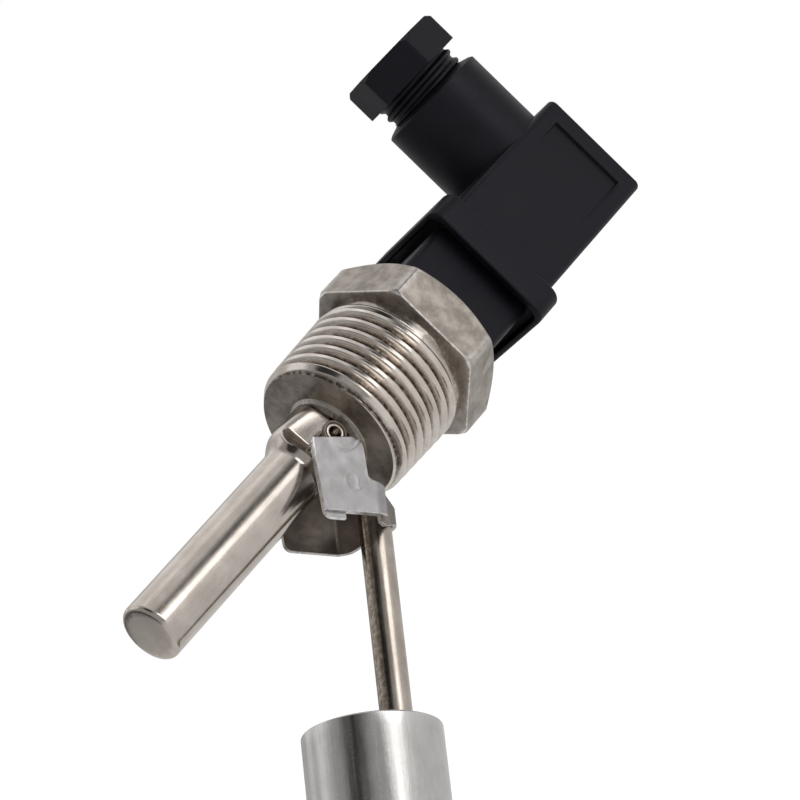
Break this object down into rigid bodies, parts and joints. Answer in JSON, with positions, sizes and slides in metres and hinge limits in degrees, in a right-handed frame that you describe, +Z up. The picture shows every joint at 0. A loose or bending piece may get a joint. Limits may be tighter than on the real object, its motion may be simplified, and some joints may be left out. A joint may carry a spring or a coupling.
{
  "type": "side mount float switch",
  "caption": "Side mount float level switch with a threaded hex plug, a sensing stem, a hinged float arm and a square cable connector with a side gland.",
  "frame": {"origin": "on the stem's axis at the sealing face of the hex", "axes": "+X along the stem into the tank, +Z up, the way the cable leaves the gland, +Y completes a right-handed set"},
  "size_m": [0.115, 0.0222, 0.0836],
  "materials": {
    "stainless": "satin",
    "hex_steel": "satin",
    "sheet_steel": "satin",
    "rod_steel": "satin",
    "float_steel": "brushed",
    "black_plastic": "satin",
    "grey_plastic": "matte",
    "rubber_seal": "matte",
    "brass_contact": "satin",
    "potting": "satin",
    "reed_tube_glass": "clear",
    "wire_cover": "satin",
    "ferrite": "matte"
  },
  "bodies": {
    "plug": {"process_fitting": "hex_steel", "stem_tube": "stainless", "stem_end_plug": "stainless", "hinge_pin": "rod_steel", "reed_glass": "reed_tube_glass", "reed_leads": "stainless", "reed_sleeve": "potting", "tip_resin": "potting", "lead_wire_a": "wire_cover", "lead_wire_b": "wire_cover", "earth_wire": "wire_cover", "rear_resin": "potting", "base_seal": "rubber_seal", "connector_base": "black_plastic", "contact_blade_a": "brass_contact", "contact_blade_b": "brass_contact", "earth_blade": "brass_contact", "base_insert": "brass_contact", "profile_gasket": "rubber_seal", "plug_housing": "black_plastic", "contact_carrier": "grey_plastic", "contact_socket_a": "brass_contact", "contact_socket_b": "brass_contact", "earth_socket": "brass_contact", "terminal_screws": "stainless", "gland_grommet": "rubber_seal"},
    "gland_travel_body": {"thrust_washer": "stainless"},
    "gland_nut_body": {"gland_nut": "black_plastic"},
    "screw_travel_body": {"screw_seal": "rubber_seal"},
    "screw_body": {"centre_screw": "stainless"},
    "arm": {"hinge_bracket": "sheet_steel", "cover_plate": "sheet_steel", "float_rod": "rod_steel", "float_cap": "float_steel", "float_shell": "float_steel", "float_magnet": "ferrite", "magnet_cup": "stainless"}
  },
  "joints": [
    {"name": "float_arm", "type": "hinge", "parent": "plug", "child": "arm", "pos_m": [0.0179, 0, 0], "axis": [0, -1, 0], "range_deg": [-16, 43]},
    {"name": "gland_travel", "type": "slide", "parent": "plug", "child": "gland_travel_body", "axis": [0, 0, 1], "range_m": [0, 0.003]},
    {"name": "gland_turn", "type": "hinge", "parent": "gland_travel_body", "child": "gland_nut_body", "pos_m": [-0.0362, 0, 0.025], "axis": [0, 0, 1], "range_deg": [0, 720]},
    {"name": "screw_travel", "type": "slide", "parent": "plug", "child": "screw_travel_body", "axis": [-1, 0, 0], "range_m": [0, 0.005]},
    {"name": "screw_turn", "type": "hinge", "parent": "screw_travel_body", "child": "screw_body", "pos_m": [-0.04, 0, 0], "axis": [-1, 0, 0], "range_deg": [0, 3600]}
  ],
  "couplings": [
    {"joint": "gland_turn", "follows": "gland_travel", "rad_per_m": 4188.8},
    {"joint": "screw_turn", "follows": "screw_travel", "rad_per_m": 12566}
  ]
}
